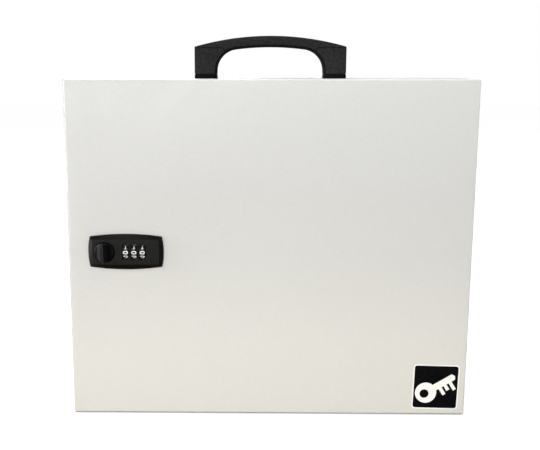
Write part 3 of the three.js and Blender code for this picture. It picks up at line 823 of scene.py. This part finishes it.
def hook_path(strip_y, tip_y, z, tip_height, thickness):
    """Out of the strip, forward, and up at the tip, with round bends."""
    points = [Vector((strip_y, z))]
    bend = 1.8 * MM
    centre = Vector((tip_y + thickness / 2 + bend, z + bend))
    for n in range(9):
        angle = -math.pi / 2 - n / 8 * math.pi / 2
        points.append(centre + bend * Vector((math.cos(angle), math.sin(angle))))
    points.append(Vector((tip_y + thickness / 2, z + tip_height)))
    return points


def build_rail(row, hook_xs, paint):
    """A strip whose hooks are punched out of it and bent forward, which leaves a window over each."""
    node = f"hook_rail_{row}"
    low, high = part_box(node)
    thickness, half_hook, tip, clearance, window = 1.0 * MM, 2.0 * MM, 5.5 * MM, 0.4 * MM, 14 * MM
    front = high.y - thickness
    hook_z = low.z + 6 * MM
    half_window = half_hook + clearance
    windows = [soft_block((x - half_window, front - 1 * MM, hook_z),
                          (x + half_window, high.y + 1 * MM, hook_z + window)) for x in hook_xs]
    strip = cut(soft_block((low.x, front, low.z), high, 0.25 * MM, 2), gather(*windows))
    path = hook_path(front + thickness / 2, low.y, hook_z - thickness / 2, tip, thickness)
    hooks = [soften(bent_strip(path, thickness, x - half_hook, x + half_hook), 0.18 * MM, 50)
             for x in hook_xs]
    new_piece(f"{node}_punched", gather(strip, *hooks), [paint], "cabinet", [node])


def build_number_strip(row, hook_xs, card, ink):
    """A card strip with a number over each hook, counted from the top left."""
    node = f"number_strip_{row}"
    low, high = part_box(node)
    first = (4 - row) * len(hook_xs) + 1
    numbers = []
    for n, x in enumerate(hook_xs):
        number = painted(flat_text(str(first + n), 4.6 * MM), 1)
        numbers.append(moved(number, x, low.y - PRINT_LIFT, (low.z + high.z) / 2))
    strip = gather(soft_block(low, high, 0.08 * MM, 1), *numbers)
    new_piece(f"{node}_printed", strip, [card, ink], "cabinet", [node])


def lathe_y(profile, centre, sides=32):
    """Spins (radius, y) points round an axis along Y through centre."""
    rings = []
    for radius, y in profile:
        rings.append([(x, y, z) for x, z in ring_points(centre.x, centre.z, radius, sides)])
    return ring_mesh("lathe", rings)


def build_rivet(node, aluminium):
    low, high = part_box(node)
    length = (high.y - low.y) / MM
    profile = [(0.55, 0.5), (0.7, 0.25), (0.95, 0.02), (1.4, 0.1), (2.0, 0.3), (2.6, 0.65), (2.95, 1.05),
               (3.0, 1.3), (1.6, 1.3), (1.6, length - 0.2), (1.4, length)]
    mesh = lathe_y([(r * MM, low.y + d * MM) for r, d in profile], centre_of(node))
    new_piece(f"{node}_set", mesh, [aluminium], "cabinet", [node])


# ---- Lock ----

def barrel_outline(half_w, half_h, corner_w, corner_h, steps=16):
    """Four shallow arcs through the corners, with equally many points each, counter-clockwise."""
    sweep = [-1 + 2 * n / steps for n in range(steps)]
    points = [(t * corner_w, -(corner_h + (half_h - corner_h) * (1 - t * t))) for t in sweep]
    points += [(corner_w + (half_w - corner_w) * (1 - t * t), t * corner_h) for t in sweep]
    return points + [(-x, -z) for x, z in points]


def faceplate_shape():
    """A barrel-shaped body whose rim slopes up to a flat rectangular face."""
    rings = [
        (FACE_Y - 0.2 * MM, (33.2, 15.7, 31.7, 13.4)),
        (FACE_Y - 0.5 * MM, (33.5, 16.0, 32.0, 13.7)),
        (PLATE_FACE_Y + 2.3 * MM, (33.5, 16.0, 32.0, 13.7)),
        (PLATE_FACE_Y + 1.9 * MM, (33.25, 15.7, 31.75, 13.45)),
        (PLATE_FACE_Y + 0.35 * MM, (30.5, 11.8, 30.0, 11.65)),
        (PLATE_FACE_Y + 0.08 * MM, (30.0, 11.35, 29.7, 11.3)),
        (PLATE_FACE_Y, (29.5, 11.05, 29.3, 11.0)),
    ]
    return ring_mesh("faceplate", [[(PLATE_X + x * MM, y, PLATE_Z + z * MM)
                                    for x, z in barrel_outline(*sizes)] for y, sizes in rings])


def window_cutter(x, half_w, half_h, flare):
    """A slot with round corners that opens out to a small chamfer at the face."""
    corner, overshoot, reach = 1.2 * MM, 0.5 * MM, 6 * MM
    rings = []
    for depth, extra in ((-overshoot, flare + overshoot), (flare, 0), (reach, 0)):
        outline = rounded_square(x, PLATE_Z, half_w + extra, half_h + extra, corner + extra, 6)
        rings.append([(px, PLATE_FACE_Y + depth, pz) for px, pz in outline])
    return ring_mesh("window", rings)


def build_faceplate(plastic, spark):
    """The plate, hollow behind, with a sunken seat and a bore for the knob and a window for each dial."""
    half_w, half_h, wall = 27.8 * MM, 11.2 * MM, 2.2 * MM
    seat_radius, seat_depth, bore_radius = 9.5 * MM, 1.2 * MM, 3.35 * MM
    cavity = soft_block((PLATE_X - half_w, PLATE_FACE_Y + wall, PLATE_Z - half_h),
                        (PLATE_X + half_w, FACE_Y + 1 * MM, PLATE_Z + half_h))
    before = centre_of("thumb_knob")
    before.y = PLATE_FACE_Y - 1 * MM
    recess = round_bar(seat_radius, before, seat_depth + 1 * MM, (0, 1, 0), 72)
    bore = round_bar(bore_radius, before, 12 * MM, (0, 1, 0), 36)
    windows = [window_cutter(centre_of(f"dial_{n}").x, 2.85 * MM, 6.7 * MM, 0.3 * MM) for n in (1, 2, 3)]
    mesh = cut(faceplate_shape(), cavity, recess, bore, *windows)
    for polygon in mesh.polygons:
        on_face = abs(polygon.center.y - PLATE_FACE_Y) < 0.06 * MM and polygon.normal.y < -0.9
        polygon.material_index = 1 if on_face else 0
    new_piece("lock_escutcheon", mesh, [plastic, spark], "door", ["lock_faceplate"], 22)


def knob_front(radius, crest, rim):
    """The depth of the knob's front at (x, z): a concave scoop on either side of an upright ridge."""
    fillet, ridge, scoop, blend = 0.7 * MM, 0.7 * MM, 9 * MM, 0.35 * MM
    run, rise = radius - ridge, rim - crest
    chord = math.hypot(run, rise)
    lift = math.sqrt(scoop ** 2 - (chord / 2) ** 2)
    scoop_x = (radius + ridge) / 2 + rise / chord * lift
    scoop_y = (crest + rim) / 2 - run / chord * lift

    def depth(x, z):
        across = abs(x)
        y = crest
        if across > ridge:
            y = scoop_y + math.sqrt(max(scoop ** 2 - (across - scoop_x) ** 2, 0))
        y += 0.35 * blend * math.exp(-((across - ridge) / blend) ** 2)
        out = math.hypot(x, z) - (radius - fillet)
        if out > 0:
            y += fillet - math.sqrt(max(fillet ** 2 - min(out, fillet) ** 2, 0))
        return y

    return depth


def closed_behind(mesh, y):
    """Takes an open surface straight back from its rim to a flat face at that depth."""
    work = bmesh.new()
    work.from_mesh(mesh)
    bmesh.ops.remove_doubles(work, verts=work.verts, dist=0.004 * MM)
    skirt = bmesh.ops.extrude_edge_only(work, edges=[e for e in work.edges if e.is_boundary])["geom"]
    for vertex in [item for item in skirt if isinstance(item, bmesh.types.BMVert)]:
        vertex.co.y = y
    bmesh.ops.contextual_create(work, geom=[item for item in skirt if isinstance(item, bmesh.types.BMEdge)])
    bmesh.ops.recalc_face_normals(work, faces=work.faces)
    return to_mesh(work, "closed")


def build_knob(plastic):
    """A grid over the round front, finest at the ridge and the rim, and closed behind."""
    low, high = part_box("thumb_knob")
    centre = (low + high) / 2
    radius = (high.x - low.x) / 2
    front = knob_front(radius, low.y, PLATE_FACE_Y - 1.8 * MM)
    half_columns, rows = 40, 48
    verts, faces = [], []
    for n in range(-half_columns, half_columns + 1):
        share = abs(n) / half_columns
        x = math.copysign(radius * math.sin(share * math.pi / 2) ** 1.15, n)
        tall = math.sqrt(max(radius ** 2 - x * x, 0))
        for m in range(rows + 1):
            z = tall * math.sin((m / rows - 0.5) * math.pi)
            verts.append((centre.x + x, min(front(x, z), high.y - 0.5 * MM), centre.z + z))
    for n in range(2 * half_columns):
        for m in range(rows):
            a = n * (rows + 1) + m
            faces.append((a, a + rows + 1, a + rows + 2, a + 1))
    mesh = closed_behind(mesh_from("knob", verts, faces), high.y)
    new_piece("thumb_turn", mesh, [plastic], "knob", ["thumb_knob"], 40)


def on_wheel(x, axis, angle, radius):
    """A point on a dial, with angle 0 at the front and positive upwards."""
    return (x, axis.y - radius * math.cos(angle), axis.z + radius * math.sin(angle))


def wheel_shape(low, high, axis):
    """Ten digit pads with a rounded groove between each two, chamfered at the sides, on a hub."""
    radius = (high.z - low.z) / 2
    pads, fine, groove, spread = 10, 9, 0.55 * MM, 0.07
    outline = []
    for pad in range(pads):
        for n in range(fine):
            share = n / fine - 0.5
            depth = groove * math.exp(-((abs(share) - 0.5) / spread) ** 2)
            outline.append((2 * math.pi * (pad + share) / pads, radius - depth))
    middle = (low.x + high.x) / 2
    side = [(2.55, -0.4), (2.43, -0.12), (2.15, 0)]
    rings = []
    for x, shrink in [(-x, shrink) for x, shrink in side] + side[::-1]:
        rings.append([on_wheel(middle + x * MM, axis, angle, r + shrink * MM) for angle, r in outline])
    hub = round_bar(3.4 * MM, (low.x, axis.y, axis.z), high.x - low.x, (1, 0, 0), 36, 0.2 * MM)
    return gather(ring_mesh("wheel", rings), hub)


def wide_zero(count=32):
    """A low, wide nought in X and Z, with an even stroke round a slot-like middle."""
    verts = []
    for half_w, half_h in ((2.3 * MM, 1.65 * MM), (1.25 * MM, 0.66 * MM)):
        for n in range(count):
            angle = 2 * math.pi * n / count
            across = math.copysign(abs(math.cos(angle)) ** 0.8, math.cos(angle))
            up = math.copysign(abs(math.sin(angle)) ** 0.8, math.sin(angle))
            verts.append((half_w * across, 0, half_h * up))
    faces = [(n, (n + 1) % count, count + (n + 1) % count, count + n) for n in range(count)]
    mesh = bpy.data.meshes.new("zero")
    mesh.from_pydata(verts, [], faces)
    return mesh


def wheel_digit(digit, radius, middle, axis):
    """One digit, wrapped on to its pad. 0 faces the front, 1 is above it and 9 below."""
    height, widen = (3.3 * MM, 2.05) if digit != 1 else (2.8 * MM, 1.6)
    mesh = flat_text(str(digit), height, widen, 0.015) if digit else wide_zero()
    work = bmesh.new()
    work.from_mesh(mesh)
    if digit == 1:
        foot = [(-1.1, -1.4), (1.1, -1.4), (1.1, -0.95), (-1.1, -0.95)]
        work.faces.new([work.verts.new((x * MM, 0.01 * MM, z * MM)) for x, z in foot])
    slice_height = 0.3 * MM
    for n in range(-5, 6):
        geometry = list(work.verts) + list(work.edges) + list(work.faces)
        bmesh.ops.bisect_plane(work, geom=geometry, plane_co=(0, 0, n * slice_height), plane_no=(0, 0, 1))
    for vertex in work.verts:
        angle = digit * math.pi / 5 + vertex.co.z / radius
        vertex.co = on_wheel(middle + vertex.co.x, axis, angle, radius + PRINT_LIFT)
    for face in work.faces:
        face.material_index = 1
        outward = face.calc_center_median() - Vector((middle, axis.y, axis.z))
        if face.normal.dot(outward) < 0:
            face.normal_flip()
    work.to_mesh(mesh)
    work.free()
    return mesh


def build_dials(plastic, white):
    for n in (1, 2, 3):
        low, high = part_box(f"dial_{n}")
        axis = Vector(HINGES[f"dial_{n}_turn"]["pos_m"])
        radius = (high.z - low.z) / 2
        middle = (low.x + high.x) / 2
        digits = [wheel_digit(d, radius, middle, axis) for d in range(10)]
        mesh = gather(wheel_shape(low, high, axis), *digits)
        new_piece(f"dial_{n}_numbered", mesh, [plastic, white], f"wheel_{n}", [f"dial_{n}"],
                  50)


# ---- Label, card and pocket ----

def flat_shape(points, y, index):
    """A flat polygon in X and Z that faces the front."""
    mesh = bpy.data.meshes.new("flat")
    mesh.from_pydata([(x, y, z) for x, z in points], [], [range(len(points))])
    work = bmesh.new()
    work.from_mesh(mesh)
    bmesh.ops.triangulate(work, faces=work.faces)
    for face in work.faces:
        face.material_index = index
        if face.normal.y > 0:
            face.normal_flip()
    work.to_mesh(mesh)
    work.free()
    return mesh


def thin_plate(points, y0, y1, index):
    """A closed plate with that outline in X and Z."""
    return painted(ring_mesh("plate", [[(x, y, z) for x, z in points] for y in (y0, y1)]), index)


def key_blade(left, right, shaft):
    """A key's blade along X, with three wards below it and a blunt tip."""
    points = [(left, shaft), (left, -shaft)]
    width = 3.2 * MM
    for start, drop in ((1.4, 7.4), (6.6, 5.4), (11.8, 8.2)):
        x, tip = start * MM, -shaft - drop * MM
        points += [(x, -shaft), (x, tip), (x + width, tip), (x + width, -shaft)]
    return points + [(right, -shaft), (right + 1.8 * MM, 0), (right, shaft)]


def build_label(black, white):
    """A plain sticker, stuck on slightly askew: white edge, black field and a generic key across it."""
    low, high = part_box("front_label")
    half_w, half_h, edge = 21 * MM, 21.3 * MM, 1.1 * MM
    y0, y1 = low.y + 0.08 * MM, high.y
    bow_x, bow_radius = -10.5 * MM, 9.8 * MM
    print_y = y0 - 0.02 * MM
    pictogram = gather(
        flat_shape(ring_points(bow_x, 0, bow_radius), print_y - 0.02 * MM, 1),
        flat_shape(ring_points(bow_x - 1.6 * MM, 0, 4.1 * MM), print_y - 0.04 * MM, 0),
        flat_shape(key_blade(bow_x + bow_radius - 1.5 * MM, 18.6 * MM, 3.1 * MM), print_y - 0.03 * MM, 1))
    pictogram.transform(Matrix.Rotation(math.radians(-33), 4, "Y"))
    mesh = gather(
        thin_plate(rounded_square(0, 0, half_w, half_h, 3.2 * MM), y0, y1, 1),
        flat_shape(rounded_square(0, 0, half_w - edge, half_h - edge, 2.1 * MM), print_y, 0),
        pictogram)
    mesh.transform(Matrix.Rotation(math.radians(LABEL_TILT), 4, "Y"))
    x, _, z = centre_of("front_label")
    new_piece("plain_sticker", moved(mesh, x, 0, z), [black, white], "door", ["front_label"])


def build_card(card, ink, pvc):
    """A card ruled with lines and columns of numbers, in a clear pocket on the door's inside."""
    low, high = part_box("index_card")
    parts = [soft_block(low, high, 0.05 * MM, 1)]
    y = high.y + 0.02 * MM
    rows, side_margin, top_margin, half_rule = 17, 10 * MM, 12 * MM, 0.09 * MM
    left, right = low.x + side_margin, high.x - side_margin
    top, bottom = high.z - top_margin, low.z + side_margin

    def line(x0, x1, z0, z1):
        strip = flat_shape([(x0, z0), (x1, z0), (x1, z1), (x0, z1)], y, 1)
        strip.flip_normals()
        parts.append(strip)

    for n in range(rows):
        z = bottom + (top - bottom) * n / (rows - 1)
        line(left, right, z - half_rule, z + half_rule)
    for n in range(5):
        x = left + (right - left) * n / 4
        line(x - half_rule, x + half_rule, bottom, top)
    for column in range(4):
        for n in range(12):
            number = flat_text(str(column * 12 + n + 1), 2.6 * MM)
            number.transform(Matrix.Rotation(math.pi, 4, "Z"))
            x = right - (right - left) * column / 4 - 4.5 * MM
            z = top - (top - bottom) * (n + 1.5) / (rows - 1)
            parts.append(moved(painted(number, 1), x, y, z))
    new_piece("index_card_ruled", gather(*parts), [card, ink], "door", ["index_card"])
    refined("card_pocket", pvc, "door", 0.2 * MM)


# ---- Assembly ----

def build_all():
    paint, zinc, aluminium = powder_coat(), zinc_plate(), rivet_aluminium()
    nylon, plastic, spark = moulded_nylon(), lock_plastic(), spark_texture()
    card, ink, white = card_stock(), printed_ink(), digit_white()
    build_tray(paint)
    build_door(paint)
    build_hinge(zinc)
    build_handle(nylon, smooth_nylon())
    hook_xs = [(n - 5.5) * HOOK_PITCH for n in range(12)]
    for row in (1, 2, 3, 4):
        build_rail(row, hook_xs, paint)
        build_number_strip(row, hook_xs, card, ink)
        for side in ("left", "right"):
            build_rivet(f"rail_rivet_{row}_{side}", aluminium)
    build_faceplate(plastic, spark)
    build_knob(knob_plastic())
    build_dials(dial_plastic(), white)
    refined("lock_chassis", plastic, "door", 0.35 * MM)
    refined("detent_spring", spring_steel(), "door", 0.08 * MM)
    refined("dial_axle", zinc, "door", 0.2 * MM)
    handle_fittings = [f"handle_{kind}_{side}" for kind in ("screw", "washer") for side in ("left", "right")]
    for body, width, nodes in (("door", 0.25, ["lock_screw_1", "lock_screw_2"]),
                               ("cabinet", 0.3, handle_fittings),
                               ("knob", 0.25, ["knob_spindle", "lock_cam", "cam_washer", "cam_nut"])):
        for node in nodes:
            refined(node, zinc, body, width * MM, 40)
    black_vinyl = label_vinyl("label_black_vinyl", (0.002, 0.002, 0.0024), (0.004, 0.004, 0.0045), 0.12)
    white_vinyl = label_vinyl("label_white_vinyl", (0.90, 0.90, 0.89), (0.86, 0.86, 0.85))
    build_label(black_vinyl, white_vinyl)
    build_card(card, ink, frosted_pvc())


add_camera()
add_studio()
build_all()
